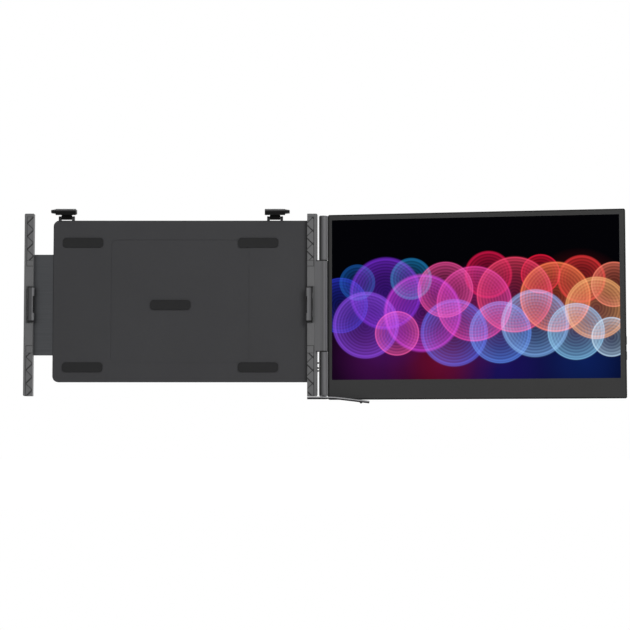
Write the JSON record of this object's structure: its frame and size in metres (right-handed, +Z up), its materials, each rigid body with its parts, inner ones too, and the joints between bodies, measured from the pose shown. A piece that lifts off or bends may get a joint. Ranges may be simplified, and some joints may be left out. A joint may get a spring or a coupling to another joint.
{
  "type": "clip-on portable monitor",
  "caption": "Portable monitor on a clamp frame: claws and top hooks hold a host panel, a barrel hinge swings a wide side screen, and a small leg turns out to prop it.",
  "frame": {"origin": "middle of the plane that the clamped panel's back rests on, on the middle rest pad", "axes": "+X along the frame towards the hinge and the side screen, +Y to the back, away from the viewer, +Z up the columns"},
  "size_m": [0.7988, 0.0849, 0.262],
  "materials": {
    "housing": "fine matt",
    "column": "anodised grey",
    "claw": "satin",
    "pad": "soft matt",
    "bezel": "fine matt",
    "rear_cover": "anodised grey",
    "glass": "satin",
    "steel": "plain",
    "screw": "blackened",
    "brass": "plain",
    "slide_plastic": "smooth",
    "board": "coated",
    "socket": "plain",
    "speaker": "matt"
  },
  "bodies": {
    "frame": {"housing_front_shell": "housing", "housing_rear_shell": "housing", "rest_pads": "pad", "housing_screws": "screw", "slide_rails": "slide_plastic", "hinge_bracket": "steel", "right_column_cover": "column", "right_column_back": "column", "right_column_screws": "screw", "right_claw_pin": "steel", "hook_pins": "steel", "frame_knuckle": "column", "hinge_shafts": "steel", "hinge_washers": "slide_plastic"},
    "left_arm": {"arm_plate": "steel", "left_column_cover": "column", "left_column_back": "column", "left_column_screws": "screw", "left_claw_pin": "steel"},
    "left_claw": {"left_claw": "claw", "left_claw_pad": "pad"},
    "right_claw": {"right_claw": "claw", "right_claw_pad": "pad"},
    "left_hook": {"left_hook": "claw", "left_hook_pad": "pad"},
    "right_hook": {"right_hook": "claw", "right_hook_pad": "pad"},
    "screen": {"screen_bezel": "bezel", "lcd_glass": "glass", "backlight_unit": "slide_plastic", "screen_rear_cover": "rear_cover", "chin_screws": "screw", "leaf_screws": "screw", "upper_knuckle": "column", "lower_knuckle": "column", "friction_bands": "brass", "barrel_plugs": "claw", "controller_board": "board", "usb_c_sockets": "socket", "speakers": "speaker", "button_board": "board", "foot_bracket": "column", "lug_screw": "screw", "leg_pin": "steel"},
    "leg": {"support_leg": "column", "leg_foot": "pad"},
    "power_button": {"power_button": "column"},
    "menu_button": {"menu_button": "column"}
  },
  "joints": [
    {"name": "arm_slide", "type": "slide", "parent": "frame", "child": "left_arm", "axis": [-1, 0, 0], "range_m": [-0.017, 0.025]},
    {"name": "left_claw_pivot", "type": "hinge", "parent": "left_arm", "child": "left_claw", "pos_m": [-0.1898, -0.0056, 0], "axis": [0, 0, 1], "range_deg": [-95, 0]},
    {"name": "right_claw_pivot", "type": "hinge", "parent": "frame", "child": "right_claw", "pos_m": [0.1898, -0.0056, 0], "axis": [0, 0, 1], "range_deg": [0, 95]},
    {"name": "left_hook_pivot", "type": "hinge", "parent": "frame", "child": "left_hook", "pos_m": [-0.14065, 0.005, 0.1178], "axis": [1, 0, 0], "range_deg": [-90, 0]},
    {"name": "right_hook_pivot", "type": "hinge", "parent": "frame", "child": "right_hook", "pos_m": [0.14065, 0.005, 0.1178], "axis": [1, 0, 0], "range_deg": [-90, 0]},
    {"name": "screen_swing", "type": "hinge", "parent": "frame", "child": "screen", "pos_m": [0.20555, -0.0045, 0], "axis": [0, 0, 1], "range_deg": [-129, 65]},
    {"name": "leg_pivot", "type": "hinge", "parent": "screen", "child": "leg", "pos_m": [0.20785, -0.01292, -0.12419], "axis": [0, -0.1736, 0.9848], "range_deg": [-80, 0]},
    {"name": "power_button_press", "type": "slide", "parent": "screen", "child": "power_button", "axis": [-0.9836, 0.1805, 0], "range_m": [0, 0.0004], "stiffness_N_per_m": 1500, "springref_m": -0.0005},
    {"name": "menu_button_press", "type": "slide", "parent": "screen", "child": "menu_button", "axis": [-0.9836, 0.1805, 0], "range_m": [0, 0.0004], "stiffness_N_per_m": 1500, "springref_m": -0.0005}
  ]
}
